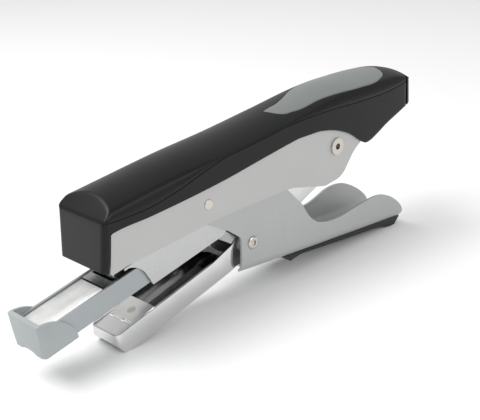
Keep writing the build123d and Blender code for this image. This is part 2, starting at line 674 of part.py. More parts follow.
NODES = {
    "anvil_arm": anvil_arm,
    "anvil_plate": anvil_plate,
    "anvil_rivet": anvil_rivet,
    "paper_stop": paper_stop,
    "main_pivot": main_pivot,
    "pivot_spacer": pivot_spacer,
    "pivot_washers": pivot_washers,
    "lever_pivot": lever_pivot,
    "lever_spacer": lever_spacer,
    "lever_washers": lever_washers,
    "spring_seat": spring_seat,
    "return_spring": return_spring,
    "hand_lever": hand_lever,
    "lever_pad": lever_pad,
    "upper_frame": upper_frame,
    "handle_casing": handle_casing,
    "grip_inlay": grip_inlay,
    "cam_pin": cam_pin,
    "casing_screws": casing_screws,
    "driver_blade": driver_blade,
    "driver_holder": driver_holder,
    "magazine_spring": magazine_spring,
    "magazine_housing": magazine_housing,
    "pusher_stop": pusher_stop,
    "guide_rod": guide_rod,
    "pusher": pusher,
    "pusher_spring": pusher_spring,
    "drawer_channel": drawer_channel,
    "drawer_cap": drawer_cap,
    "staple_core": staple_core,
    "staple_strip": staple_strip,
}

os.makedirs("parts", exist_ok=True)
for name, make in NODES.items():
    export_step(make(), f"parts/{name}.step")
    print("wrote", name)
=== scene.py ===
"""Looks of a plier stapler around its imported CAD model: casing, grip, sheet metal, staples, springs.

Points are given in millimetres in the side view of the stapler, with x towards its rear from a
point just behind the tip of the anvil arm, and z up from the ground. place() and new_object() turn
them into the model's frame, in metres."""

import json
import math

import bmesh
import bpy
import numpy as np
from mathutils import Matrix, Vector


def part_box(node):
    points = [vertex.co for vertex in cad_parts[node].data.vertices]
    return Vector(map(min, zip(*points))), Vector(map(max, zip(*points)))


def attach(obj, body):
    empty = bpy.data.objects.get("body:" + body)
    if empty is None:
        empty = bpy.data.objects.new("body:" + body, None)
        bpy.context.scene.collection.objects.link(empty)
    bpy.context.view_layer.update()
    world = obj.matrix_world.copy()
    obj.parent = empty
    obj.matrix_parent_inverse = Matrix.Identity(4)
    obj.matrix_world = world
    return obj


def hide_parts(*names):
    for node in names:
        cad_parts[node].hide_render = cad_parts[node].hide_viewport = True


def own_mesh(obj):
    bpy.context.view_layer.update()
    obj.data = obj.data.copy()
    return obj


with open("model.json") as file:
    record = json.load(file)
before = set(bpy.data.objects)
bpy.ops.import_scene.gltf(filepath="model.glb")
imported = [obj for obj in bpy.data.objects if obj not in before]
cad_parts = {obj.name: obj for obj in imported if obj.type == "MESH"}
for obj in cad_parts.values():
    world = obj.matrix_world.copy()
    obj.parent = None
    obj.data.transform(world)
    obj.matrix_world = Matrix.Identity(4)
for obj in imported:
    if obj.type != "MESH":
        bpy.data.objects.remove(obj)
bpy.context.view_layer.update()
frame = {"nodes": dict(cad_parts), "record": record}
nodes = frame["nodes"]

MM = 0.001
SAME_POINT, NO_LENGTH = 1e-6, 1e-7
PIVOT = (103.5, 46.8)
pivot_low, pivot_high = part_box("main_pivot")
SHIFT_X = (pivot_low.x + pivot_high.x) / 2 - PIVOT[0] * MM


def place(x, y, z):
    return Vector((x * MM + SHIFT_X, y * MM, z * MM))


# ---------------------------------------------------------------- materials

def node(tree, kind, **values):
    """New shader node with its sockets or attributes set by name."""
    made = tree.nodes.new(kind)
    for key, value in values.items():
        if hasattr(made, key):
            setattr(made, key, value)
        else:
            made.inputs[key.replace("_", " ")].default_value = value
    return made


def blank(name, color, rough, metallic=0.0, **sockets):
    """Material with one Principled shader; returns the material, its tree and the shader."""
    material = bpy.data.materials.new(name)
    material.use_nodes = True
    tree = material.node_tree
    shader = tree.nodes["Principled BSDF"]
    shader.inputs["Base Color"].default_value = (*color, 1)
    shader.inputs["Roughness"].default_value = rough
    shader.inputs["Metallic"].default_value = metallic
    for key, value in sockets.items():
        shader.inputs[key.replace("_", " ")].default_value = value
    material.diffuse_color = (*color, 1)
    return material, tree, shader


def coordinates(tree, stretch=(1, 1, 1)):
    """Object coordinates in metres, stretched along an axis for brushed or drawn grain."""
    source = node(tree, "ShaderNodeTexCoord")
    mapping = node(tree, "ShaderNodeMapping")
    mapping.inputs["Scale"].default_value = stretch
    tree.links.new(source.outputs["Object"], mapping.inputs["Vector"])
    return mapping.outputs["Vector"]


def noise(tree, vector, scale, detail=3.0, roughness=0.5):
    made = node(tree, "ShaderNodeTexNoise", Scale=scale, Detail=detail, Roughness=roughness)
    tree.links.new(vector, made.inputs["Vector"])
    return made.outputs["Fac"]


def spread(tree, value, low, high, source_low=0.3, source_high=0.7):
    """Value mapped from its usual range to low..high."""
    made = node(tree, "ShaderNodeMapRange")
    for key, number in zip(("From Min", "From Max", "To Min", "To Max"),
                           (source_low, source_high, low, high)):
        made.inputs[key].default_value = number
    tree.links.new(value, made.inputs["Value"])
    return made.outputs["Result"]


def tint(tree, value, first, second):
    """Colour between two, driven by value."""
    made = node(tree, "ShaderNodeMix", data_type="RGBA")
    made.inputs["A"].default_value = (*first, 1)
    made.inputs["B"].default_value = (*second, 1)
    tree.links.new(value, made.inputs["Factor"])
    return made.outputs["Result"]


def bumped(tree, shader, heights):
    """Chain of bumps into the shader: (height, distance in metres, strength)."""
    normal = None
    for height, distance, strength in heights:
        made = node(tree, "ShaderNodeBump", Distance=distance, Strength=strength)
        tree.links.new(height, made.inputs["Height"])
        if normal is not None:
            tree.links.new(normal, made.inputs["Normal"])
        normal = made.outputs["Normal"]
    tree.links.new(normal, shader.inputs["Normal"])


def shade(color, factor):
    return tuple(min(1.0, channel * factor) for channel in color)


def paint(name, color, rough):
    """Sprayed enamel on sheet steel: soft orange peel, slight clouding, satin gloss."""
    material, tree, shader = blank(name, color, rough, 0.25, Coat_Weight=0.25, Coat_Roughness=0.22)
    vector = coordinates(tree)
    peel = noise(tree, vector, 900.0, 2.0)
    cloud = noise(tree, vector, 45.0, 4.0)
    dust = noise(tree, vector, 4200.0, 1.0)
    tree.links.new(tint(tree, spread(tree, cloud, 0, 1), shade(color, 0.965), shade(color, 1.02)),
                   shader.inputs["Base Color"])
    tree.links.new(spread(tree, cloud, rough - 0.04, rough + 0.05), shader.inputs["Roughness"])
    bumped(tree, shader, [(peel, 0.00002, 0.35), (dust, 0.000006, 0.25)])
    return material


def plate(name, color, rough, grain=(1, 1, 1), grain_scale=1400.0, depth=0.5):
    """Bare or plated steel with fine drawn grain, handling marks and a little uneven gloss."""
    material, tree, shader = blank(name, color, rough, 1.0)
    vector = coordinates(tree, grain)
    drawn = noise(tree, vector, grain_scale, 3.0)
    smudge = noise(tree, coordinates(tree), 60.0, 5.0, 0.6)
    tree.links.new(spread(tree, smudge, rough * 0.75, rough * 1.45), shader.inputs["Roughness"])
    tree.links.new(tint(tree, spread(tree, smudge, 0, 1), shade(color, 0.93), shade(color, 1.03)),
                   shader.inputs["Base Color"])
    bumped(tree, shader, [(drawn, 0.000012, depth)])
    return material


def plastic(name, color, rough, texture_scale, depth, sheen=0.0, gloss=0.45):
    """Moulded plastic or rubber: eroded mould texture, flow clouding and uneven gloss."""
    material, tree, shader = blank(name, color, rough, 0.0, Specular_IOR_Level=gloss,
                                   Sheen_Weight=sheen, Sheen_Roughness=0.5)
    vector = coordinates(tree)
    grains = node(tree, "ShaderNodeTexVoronoi", feature="SMOOTH_F1", Scale=texture_scale)
    tree.links.new(vector, grains.inputs["Vector"])
    fine = noise(tree, vector, texture_scale * 1.7, 2.0)
    flow = noise(tree, vector, 38.0, 4.0)
    tree.links.new(tint(tree, spread(tree, flow, 0, 1), shade(color, 0.9), shade(color, 1.08)),
                   shader.inputs["Base Color"])
    tree.links.new(spread(tree, flow, rough - 0.04, rough + 0.06), shader.inputs["Roughness"])
    bumped(tree, shader, [(grains.outputs["Distance"], 0.00004, depth), (fine, 0.00002, depth * 0.6)])
    return material


ALONG = (0.06, 1, 1)
MATERIALS = {
    "frame_paint": paint("frame_enamel", (0.46, 0.46, 0.455), 0.40),
    "lever_paint": paint("lever_enamel", (0.41, 0.425, 0.42), 0.36),
    "chrome_arm": plate("chrome", (0.68, 0.68, 0.68), 0.12, ALONG, 700.0, 0.12),
    "anvil_steel": plate("anvil_polish", (0.82, 0.82, 0.81), 0.17, (1, 0.1, 1), 1500.0, 0.25),
    "housing_steel": plate("housing_satin", (0.53, 0.535, 0.535), 0.26, ALONG, 1600.0, 0.15),
    "rivet_nickel": plate("rivet_nickel_satin", (0.62, 0.59, 0.54), 0.28, (1, 1, 1), 1200.0, 0.4),
    "spring_steel": plate("spring_wire", (0.48, 0.49, 0.50), 0.3, (1, 1, 1), 2500.0, 0.5),
    "blade_steel": plate("blade_ground", (0.55, 0.56, 0.57), 0.25, (1, 1, 0.08), 1800.0, 0.6),
    "drawer_grey": paint("drawer_enamel", (0.35, 0.375, 0.385), 0.34),
    "cap_grey": plastic("cap_moulding", (0.355, 0.385, 0.39), 0.42, 2600.0, 0.25),
    "casing_black": plastic("casing_moulding", (0.0035, 0.0036, 0.0036), 0.34, 2400.0, 0.3, gloss=0.26),
    "grip_grey": plastic("grip_soft", (0.14, 0.153, 0.151), 0.6, 3200.0, 0.45, 0.25),
    "pad_black": plastic("pad_rubber", (0.012, 0.012, 0.012), 0.6, 2000.0, 0.6, 0.1),
    "core_grey": plastic("core_moulding", (0.2, 0.21, 0.22), 0.5, 2400.0, 0.4),
    "washer_white": plastic("washer_nylon", (0.6, 0.59, 0.55), 0.45, 2600.0, 0.3),
    "staple_wire": plate("staple_zinc", (0.74, 0.74, 0.73), 0.38, (1, 1, 1), 2200.0, 0.35),
}

for subpart in frame["record"]["subparts"]:
    mesh = nodes[subpart["node"]].data
    mesh.materials.clear()
    mesh.materials.append(MATERIALS[subpart["material_slot"]])


# ---------------------------------------------------------------- mesh tools

def smooth_line(points):
    """Function through (x, value) points, in the manner of a drawn curve that never overshoots."""
    xs, values = (np.array(column, float) for column in zip(*points))
    steps = np.diff(values) / np.diff(xs)
    slopes = np.concatenate(([steps[0]], (steps[:-1] + steps[1:]) / 2, [steps[-1]]))
    slopes[1:-1][steps[:-1] * steps[1:] <= 0] = 0

    def value(x):
        index = np.clip(np.searchsorted(xs, x) - 1, 0, len(xs) - 2)
        run = xs[index + 1] - xs[index]
        t = np.clip((x - xs[index]) / run, 0, 1)
        first, last = values[index], values[index + 1]
        return (first * (2 * t ** 3 - 3 * t ** 2 + 1) + last * (3 * t ** 2 - 2 * t ** 3)
                + run * (slopes[index] * (t ** 3 - 2 * t ** 2 + t) + slopes[index + 1] * (t ** 3 - t ** 2)))

    return value


def soft_least(a, b, reach):
    """Smaller of two heights, with a soft crease about reach wide between them."""
    return -reach * np.logaddexp(-np.asarray(a) / reach, -np.asarray(b) / reach)


def rounded(points, step=9.0):
    """Closed outline with its corners turned into arcs: points are (x, z, radius)."""
    outline = []
    count = len(points)
    for index, (x, z, radius) in enumerate(points):
        here = Vector((x, z))
        before = Vector(points[index - 1][:2]) - here
        after = Vector(points[(index + 1) % count][:2]) - here
        between = before.angle(after)
        if radius == 0 or between > math.radians(179):
            outline.append((x, z))
            continue
        turn = math.pi - between
        before.normalize()
        after.normalize()
        start = here + before * (radius / math.tan(between / 2))
        middle = here + (before + after).normalized() * (radius / math.sin(between / 2))
        sweep = max(2, math.ceil(math.degrees(turn) / step))
        spoke = start - middle
        side = -math.copysign(1, before.cross(after))
        for index_on_arc in range(sweep + 1):
            angle = side * turn * index_on_arc / sweep
            outline.append((middle.x + spoke.x * math.cos(angle) - spoke.y * math.sin(angle),
                            middle.y + spoke.x * math.sin(angle) + spoke.y * math.cos(angle)))
    return outline


def new_object(name, points, faces, crease=35.0):
    """Object from points in millimetres; duplicates are merged and normals face outwards."""
    mesh = bpy.data.meshes.new(name)
    located = np.asarray(points, float) * MM + np.array((SHIFT_X, 0, 0))
    mesh.from_pydata(located.tolist(), [], faces)
    work = bmesh.new()
    work.from_mesh(mesh)
    bmesh.ops.remove_doubles(work, verts=work.verts, dist=SAME_POINT)
    bmesh.ops.dissolve_degenerate(work, edges=work.edges, dist=NO_LENGTH)
    bmesh.ops.recalc_face_normals(work, faces=work.faces)
    if work.calc_volume(signed=True) < 0:
        bmesh.ops.reverse_faces(work, faces=work.faces)
    work.to_mesh(mesh)
    work.free()
    made = bpy.data.objects.new(name, mesh)
    bpy.context.scene.collection.objects.link(made)
    smooth(mesh, crease)
    return made


def smooth(mesh, crease=35.0):
    mesh.shade_smooth()
    mesh.set_sharp_from_angle(angle=math.radians(crease))


def grid_faces(rows, columns, skip=None):
    """Quads of a grid of rows x columns points; skip(row, column) leaves one out."""
    faces = []
    for row in range(rows - 1):
        for column in range(columns - 1):
            if skip is None or not skip(row, column):
                corner = row * columns + column
                faces.append((corner, corner + 1, corner + columns + 1, corner + columns))
    return faces


def shell(outer, inner, faces):
    """Closed wall between two surfaces with the same faces: points and faces of the whole."""
    offset = len(outer)
    edges = {}
    for face in faces:
        for start, end in zip(face, face[1:] + face[:1]):
            edges[(start, end)] = edges.get((start, end), 0) + 1
    whole = list(faces)
    for face in faces:
        whole.append(tuple(corner + offset for corner in reversed(face)))
    for start, end in edges:
        if (end, start) not in edges:
            whole.append((end, start, start + offset, end + offset))
    return np.concatenate((outer, inner)), whole


def prism(outline, y_low, y_high):
    """Points and faces of a side outline as thick as the stretch from y_low to y_high."""
    count = len(outline)
    points = [(x, y_low, z) for x, z in outline] + [(x, y_high, z) for x, z in outline]
    faces = [tuple(range(count)), tuple(range(2 * count - 1, count - 1, -1))]
    for index in range(count):
        after = (index + 1) % count
        faces.append((index, after, after + count, index + count))
    return points, faces


def cut(target, tool, operation="DIFFERENCE", crease=35.0):
    """Boolean of target with tool, by default target without tool; the tool is dropped."""
    modifier = target.modifiers.new("cut", "BOOLEAN")
    modifier.object = tool
    modifier.operation = operation
    modifier.solver = "EXACT"
    graph = bpy.context.evaluated_depsgraph_get()
    result = bpy.data.meshes.new_from_object(target.evaluated_get(graph))
    target.modifiers.clear()
    target.data = result
    bpy.data.objects.remove(tool)
    smooth(result, crease)
    return target


def dress(made, slot, body, *replaced):
    """Finish a piece: its material and slot, the body it rides on, and the nodes it stands for."""
    made.data.materials.clear()
    made.data.materials.append(MATERIALS[slot])
    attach(made, body)
    if replaced:
        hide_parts(*replaced)
    return made


# ---------------------------------------------------------------- handle casing

CASING_TOP = smooth_line([(-14, 55.4), (-1.5, 56.9), (9, 58.2), (31, 60.8), (55, 62.9), (81, 65.9),
                          (103.6, 68.7), (115, 69.2), (133.7, 69.0), (144, 68.2), (150.2, 66.4)])
CASING_LINE = smooth_line([(-9, 51.1), (-2.5, 50.9), (9.7, 51.2), (22.8, 53.6), (34, 56.5), (46, 59.2),
                           (60.8, 61.2), (76.3, 62.3), (92.6, 63.0), (103.9, 62.8), (115.7, 62.4),
                           (128, 62.3), (137.6, 62.8), (150.2, 64.0)])
CASING_EDGE = smooth_line([(-6.4, 44.8), (-6.1, 45.7), (-5.5, 46.4), (-4.2, 46.75), (10.3, 47.5),
                           (32.4, 49.2), (44.7, 50.4), (61.5, 52.8), (77.2, 55.0), (83, 55.6),
                           (90.9, 55.6), (98.2, 54.7), (105.2, 52.6), (112.3, 49.2), (118.3, 44.9),
                           (120.6, 44.0), (123.1, 44.3), (128.1, 46.3), (132.6, 48.4), (142.3, 51.8),
                           (150.2, 54.2)])
CASING_HALF = smooth_line([(-9, 12.9), (26, 12.9), (50, 12.45), (76, 12.45), (100, 12.85), (128, 12.8),
                           (144, 12.2), (150.2, 11.4)])
CROWN_RADIUS = 30.0
NOSE_BROW = (-8.8, 50.9)
NOSE_LEAN = 1.6 / 17.1
NOSE_LEG = 2.4
NOSE_CORNER = 1.7
NOSE_EDGE = 0.6
CASING_TAIL = 150.2
TAIL_CORNER = 2.4
LIP = 0.32
INNER_HALF = 11.52
INNER_TAPER, TAPER_FROM, TAPER_RUN = 2.2, 140, 10
CASING_WALL = 1.5
BROW_SOFTNESS = 0.22
NOSE_STEPS, TAIL_STEPS = 7, 8
NOSE_ROWS_END = 2.05
NOSE_SPACING, SPACING = 0.35, 1.0
TAIL_DROP = 0.75
LEG_POINTS = 10
LEG_FOOT, LEG_FOOT_SLOPE, LEG_SPLIT = 33.8, 0.33, 45.0
CHEEK_FOOT = (12.0, 33.0)
EDGE_TUCK = 0.14
LEAN_END, LEAN_RUN = 8.0, 16.0
SHOULDER_LEAST, SHOULDER_MOST = 0.35, 1.9


def crown(x, y, drop=0.0):
    """Height of the handle's crowned top, with the bevel that slopes down to its nose."""
    arch = CASING_TOP(x) - CROWN_RADIUS + np.sqrt(CROWN_RADIUS ** 2 - np.square(y)) - drop
    bevel = NOSE_BROW[1] + (x - NOSE_BROW[0]) - drop * math.sqrt(2)
    return soft_least(arch, bevel, BROW_SOFTNESS)


def casing_stations():
    """(x, inset of the corners, how far the top is rounded down) along the casing."""
    stations = []
    for step in range(NOSE_STEPS + 1):
        angle = math.pi / 2 * step / NOSE_STEPS
        depth = NOSE_CORNER * (1 - math.cos(angle))
        over = max(0.0, NOSE_EDGE - depth)
        drop = NOSE_EDGE - math.sqrt(NOSE_EDGE ** 2 - over ** 2)
        stations.append((NOSE_BROW[0] + depth, NOSE_CORNER * (1 - math.sin(angle)), drop))
    x = NOSE_BROW[0] + NOSE_ROWS_END
    while x < CASING_TAIL - TAIL_CORNER - 0.3:
        stations.append((x, 0.0, 0.0))
        x += NOSE_SPACING if x < 0 else SPACING
    for step in range(TAIL_STEPS + 1):
        angle = math.pi / 2 * step / TAIL_STEPS
        inset = TAIL_CORNER * (1 - math.cos(angle))
        stations.append((CASING_TAIL - TAIL_CORNER * (1 - math.sin(angle)), inset, TAIL_DROP * inset))
    return stations


def half_section(x, inset, drop):
    """Near half of the casing's outside at x, from its lower edge to the middle of its top."""
    half = float(CASING_HALF(x)) - inset
    line = min(float(CASING_LINE(x)), float(crown(x, half)) - drop - 0.25)
    edge = float(CASING_EDGE(x)) + 0.8 * drop * (x > 0)
    leg = x < NOSE_BROW[0] + NOSE_LEG + 0.01
    foot = LEG_FOOT - LEG_FOOT_SLOPE * (x - NOSE_BROW[0]) if leg else edge
    split = LEG_SPLIT if leg else edge
    low_half, low_z = CHEEK_FOOT

    def cheek_half(z):
        return low_half - inset + (half - low_half + inset - 0.1) * (z - low_z) / (line - low_z)

    points = [(cheek_half(foot) - EDGE_TUCK, foot)]
    for z in np.linspace(foot + (0.2 if leg else 0), split, LEG_POINTS):
        points.append((cheek_half(z) - (0 if leg else EDGE_TUCK), z))
    for z in np.linspace(split + (0.6 if leg else 0.18), line - 0.62, 14):
        points.append((cheek_half(z), z))
    points += [(half - LIP, line - 0.5), (half - LIP, line - 0.2), (half - 0.08, line - 0.05),
               (half, line + 0.1)]
    turn_y = half - min(SHOULDER_MOST, SHOULDER_LEAST + 0.5 * (float(crown(x, half)) - drop - line))
    turn_z = float(crown(x, turn_y)) - drop
    corner_z = float(crown(x, half - 0.15)) - drop
    for t in np.linspace(0, 1, 8)[1:]:
        y = (1 - t) ** 2 * half + 2 * t * (1 - t) * (half - 0.1) + t ** 2 * turn_y
        z = (1 - t) ** 2 * (line + 0.1) + 2 * t * (1 - t) * corner_z + t ** 2 * turn_z
        points.append((y, min(z, float(crown(x, y)) - drop)))
    for y in np.linspace(turn_y, 0, 26)[1:]:
        points.append((y, float(crown(x, y)) - drop))
    return points


def lean(x, z):
    """How far the casing leans forward at its nose, less and less towards the rear."""
    fade = np.clip((LEAN_END - x) / LEAN_RUN, 0, 1)
    return -NOSE_LEAN * (NOSE_BROW[1] - z) * fade * (z < NOSE_BROW[1])


def inner_point(x, y, z):
    """Point of the casing's inside that faces a point of its outside."""
    ahead = x - NOSE_BROW[0]
    if ahead < NOSE_LEG:
        x = NOSE_BROW[0] + CASING_WALL + ahead * (1 - CASING_WALL / NOSE_LEG)
    x = min(x, CASING_TAIL - CASING_WALL)
    inner_half = INNER_HALF - INNER_TAPER * max(0.0, (x - TAPER_FROM) / TAPER_RUN)
    side = math.copysign(min(abs(y), inner_half), y)
    return x, side, min(z, float(crown(x, side, CASING_WALL)))


def closing_rings(edge, centre, count=10):
    """Rings of points from an open arch of points in towards the middle of its foot."""
    shares = [1 - (step / count) for step in range(1, count)] + [0.0]
    return [centre + (edge - centre) * share for share in shares]


def make_casing():
    """Moulded handle: crowned top, lip over flat cheeks, bevelled nose and rounded tail."""
    rows, inner_rows = [], []
    for x, inset, drop in casing_stations():
        near = half_section(x, inset, drop)
        section = [(x, -y, z) for y, z in near] + [(x, y, z) for y, z in near[-2::-1]]
        rows.append(np.array(section))
        inner_rows.append(np.array([inner_point(*point) for point in section]))
    columns = len(rows[0])
    leg_rows = sum(1 for row in rows if row[0][0] < NOSE_BROW[0] + NOSE_LEG + 0.01)
    for group in (rows, inner_rows):
        for place_at, edge in ((0, group[0]), (len(group), group[-1])):
            foot = np.array((edge[0][0], 0.0, edge[0][2]))
            rings = closing_rings(edge, foot)
            group[place_at:place_at] = rings[::-1] if place_at == 0 else rings
    closing = len(closing_rings(rows[0], rows[0][0]))
    leg_end = closing + leg_rows - 1

    def behind_leg(row, column):
        return row >= leg_end and min(column, columns - 2 - column) < LEG_POINTS

    faces = grid_faces(len(rows), columns, behind_leg)
    outer = np.concatenate(rows)
    inner = np.concatenate(inner_rows)
    for group in (outer, inner):
        group[:, 0] += lean(group[:, 0], group[:, 2])
    points, faces = shell(outer, inner, faces)
    casing = new_object("casing_shell", points, faces, 40.0)
    cut(casing, grip_pocket(), crease=40.0)
    return dress(casing, "casing_black", "upper_arm", "handle_casing")


# ---------------------------------------------------------------- soft grip

GRIP_TIP, GRIP_TAIL = 75.6, 140.6
GRIP_LEFT = smooth_line([(0, 0), (0.022, 4.8), (0.115, 8.4), (0.33, 9.3), (0.64, 11.4), (0.868, 10.2),
                         (0.966, 5.6), (1, 0)])
GRIP_RIGHT = smooth_line([(0, 0), (0.123, 1.4), (0.214, 3.5), (0.345, 7.6), (0.64, 11.4), (0.868, 10.2),
                          (0.966, 5.6), (1, 0)])
GRIP_GAP = 0.16
GRIP_PROUD = 0.12
GRIP_DEPTH = 1.0
GRIP_ROLL = 0.55
SPINE_INSET = 7
POCKET_ROOM = 2.0


def grip_outline(gap, steps=90):
    """Closed plan outline of the grip, drawn in by gap."""
    share = (1 - np.cos(np.linspace(0, math.pi, steps))) / 2
    x = GRIP_TIP + share * (GRIP_TAIL - GRIP_TIP)
    near = np.stack((x, -GRIP_LEFT(share)), 1)
    far = np.stack((x, GRIP_RIGHT(share)), 1)
    loop = np.concatenate((near, far[-2:0:-1]))
    away = loop - grip_spine(loop)
    return loop - gap * away / np.linalg.norm(away, axis=1)[:, None]


def grip_spine(loop):
    """For each point of the outline, its foot on the grip's middle line."""
    along = np.clip(loop[:, 0], GRIP_TIP + SPINE_INSET, GRIP_TAIL - SPINE_INSET)
    return np.stack((along, np.zeros(len(loop))), 1)


def grip_sheet(gap, heights, rings=14):
    """Rings from the outline to its middle line; heights(x, y, distance in) gives z."""
    edge = grip_outline(gap)
    spine = grip_spine(edge)
    shares = 1 - np.linspace(0, 1, rings) ** 1.6
    made = []
    for share in shares:
        plan = spine + (edge - spine) * share
        inward = np.linalg.norm(plan - edge, axis=1)
        made.append(np.column_stack((plan, heights(plan[:, 0], plan[:, 1], inward))))
    return made


def ring_faces(rings, size):
    faces = []
    for ring in range(rings - 1):
        for index in range(size):
            after = (index + 1) % size
            faces.append((ring * size + index, ring * size + after,
                          (ring + 1) * size + after, (ring + 1) * size + index))
    return faces


def closed_leaf(name, gap, top, depth, crease):
    """Closed leaf with its top given by a height function and its foot depth under the casing."""
    upper = grip_sheet(gap, top)
    lower = grip_sheet(gap, lambda x, y, inward: crown(x, y) - depth)
    rings = lower[::-1] + upper
    size = len(rings[0])
    return new_object(name, np.concatenate(rings), ring_faces(len(rings), size), crease)


def grip_pocket():
    """Tool that cuts the recess for the grip."""
    def top(x, y, inward):
        return crown(x, y) + POCKET_ROOM

    return closed_leaf("grip_pocket", 0.0, top, GRIP_DEPTH, 40.0)


def make_grip():
    """Soft grip: follows the crown, stands a little proud and rolls down into its recess."""
    def top(x, y, inward):
        over = np.clip(GRIP_ROLL - inward, 0, GRIP_ROLL)
        return crown(x, y) + GRIP_PROUD - (GRIP_ROLL - np.sqrt(GRIP_ROLL ** 2 - over ** 2))

    grip = closed_leaf("grip_cushion", GRIP_GAP, top, GRIP_DEPTH - 0.02, 50.0)
    return dress(grip, "grip_grey", "upper_arm", "grip_inlay")


# ---------------------------------------------------------------- magazine directions

DRIVER_FOOT = (-2.0, 27.14)
SLOPE = math.radians(12.0)


def tilted(points):
    """Points given along the rails, across, and square to the rails, in the side view's frame."""
    s, y, t = (np.asarray(column, float) for column in zip(*points))
    return np.column_stack((DRIVER_FOOT[0] + s * math.cos(SLOPE) - t * math.sin(SLOPE), y,
                            DRIVER_FOOT[1] + s * math.sin(SLOPE) + t * math.cos(SLOPE)))


THROUGH = 14


def softened(made, width, segments=3, angle=28.0, crease=40.0):
    """Round the edges of a solid by width, in millimetres."""
    modifier = made.modifiers.new("edges", "BEVEL")
    modifier.width = width * MM
    modifier.segments = segments
    modifier.limit_method = "ANGLE"
    modifier.angle_limit = math.radians(angle)
    modifier.miter_outer = "MITER_ARC"
    modifier.harden_normals = False
    graph = bpy.context.evaluated_depsgraph_get()
    mesh = bpy.data.meshes.new_from_object(made.evaluated_get(graph))
    made.modifiers.clear()
    made.data = mesh
    smooth(mesh, crease)
    return made


def side_solid(name, outline, y_low, y_high, turn=None):
    """Solid from a side outline; turn places points given in another frame."""
    points, faces = prism(outline, y_low, y_high)
    return new_object(name, turn(points) if turn else points, faces)


def plan_solid(name, outline, low, high, order, turn=None):
    """Solid from an outline drawn in another view; order says where its own axes go."""
    points, faces = prism(outline, low, high)
    points = [tuple(point[index] for index in order) for point in points]
    return new_object(name, turn(points) if turn else points, faces)


# ---------------------------------------------------------------- hand lever

LEVER_OUT, LEVER_IN = 10.1, 9.2
LEVER_BEND = 4.0
LEVER_PIVOT = (57.7, 21.5)
CAM_PIN = (36.3, 43.3)
PIVOT_RADIUS = 2.5
LEVER_FLOOR = smooth_line([(28, 12.6), (52, 10.5), (76.4, 8.4), (114, 5.5), (160, 2.1)])
LEVER_LOBES = [
    (85.0, 28.0), (87.3, 24.0), (90.0, 20.6), (94.3, 17.7), (101.0, 16.1), (108.3, 16.1), (115.5, 17.4),
    (121.5, 18.6), (127.8, 18.8), (133.8, 17.5), (140.0, 14.1), (144.9, 10.0), (147.1, 6.6),
    (146.4, 3.6), (144.0, 0.5),
]
LEVER_FRONT = [
    (51.3, 8.5, 0), (51.9, 17.5, 6.0), (52.3, 25.0, 3.0), (46.2, 29.8, 5.0), (31.2, 38.4, 4.2),
    (31.8, 49.2, 4.4), (43.0, 48.2, 4.2), (47.0, 38.5, 5.0), (72.0, 41.5, 4.0),
]
LEVER_FRONT_FLOOR = 56.5
FRONT_ROOM = 8.0
TROUGH_START, TROUGH_END, TROUGH_TOP = 28, 151, 52
CREASE_X = 73.8
CREASE_START, CREASE_END, CREASE_SPACING = 70, 76, 0.3
CREASE_RIDGE, CREASE_WIDTH, CREASE_TOP = 0.3, 0.6, 30.0
CREASE_BEND, BEND_FOOT, BEND_HEIGHT = 2.6, 23.5, 5.5
FLARE_START, FLARE_RUN, FLARE_OUT = 106, 18, 1.25
FLARE_FOOT, FLARE_HEIGHT = 2.5, 11
CHEEKS_OUTSIDE = 0.0075
RIVET_HOLE = 1.7
SHANK_RADIUS = RIVET_HOLE - 0.1
PAD_HALF = 8.0
PAD_REAR = 147.6
SQUEEZE, JAW_CLOSE = 21.0, 8.7


def turned(point, centre, degrees):
    """Point of the side view turned about centre the way that closes the jaws."""
    angle = math.radians(degrees)
    x, z = point[0] - centre[0], point[1] - centre[1]
    return (centre[0] + x * math.cos(angle) - z * math.sin(angle),
            centre[1] + x * math.sin(angle) + z * math.cos(angle))


def slot_outline(radius=1.85, steps=6):
    """Outline of the lever's slot, round the path of the frame's cross pin."""
    path = []
    for step in range(steps + 1):
        pin = turned(CAM_PIN, PIVOT, JAW_CLOSE * step / steps)
        path.append(Vector(turned(pin, LEVER_PIVOT, -SQUEEZE * step / steps)))
    heading = (path[-1] - path[0]).normalized()
    across = Vector((-heading.y, heading.x))
    outline = []
    for ends, facing in ((path, 1), (path[::-1], -1)):
        outline += [point + across * radius * facing for point in ends]
        for degrees in range(20, 180, 20):
            angle = math.radians(degrees)
            spoke = across * math.cos(angle) + heading * math.sin(angle)
            outline.append(ends[-1] + spoke * radius * facing)
    return [tuple(point) for point in outline]


def disc_outline(centre, radius, count=40):
    return [(centre[0] + radius * math.cos(2 * math.pi * k / count),
             centre[1] + radius * math.sin(2 * math.pi * k / count)) for k in range(count)]


def trough_rows(half, bend, inset):
    """Sections of the lever's trough along its length, closer together at the crease."""
    rows = []
    for x in np.concatenate((np.arange(TROUGH_START, CREASE_START, 1.0),
                             np.arange(CREASE_START, CREASE_END, CREASE_SPACING),
                             np.arange(CREASE_END, TROUGH_END, 1.0))):
        floor = float(LEVER_FLOOR(x)) + inset
        near = [(half, z) for z in np.linspace(TROUGH_TOP, floor + bend + 1, 26)]
        for angle in np.linspace(0, math.pi / 2, 9):
            near.append((half - bend + bend * math.cos(angle), floor + bend - bend * math.sin(angle)))
        near += [(y, floor) for y in np.linspace(half - bend, 0, 5)[1:]]
        rows.append([(x, -y, z) for y, z in near] + [(x, y, z) for y, z in near[-2::-1]])
    return np.array(rows)


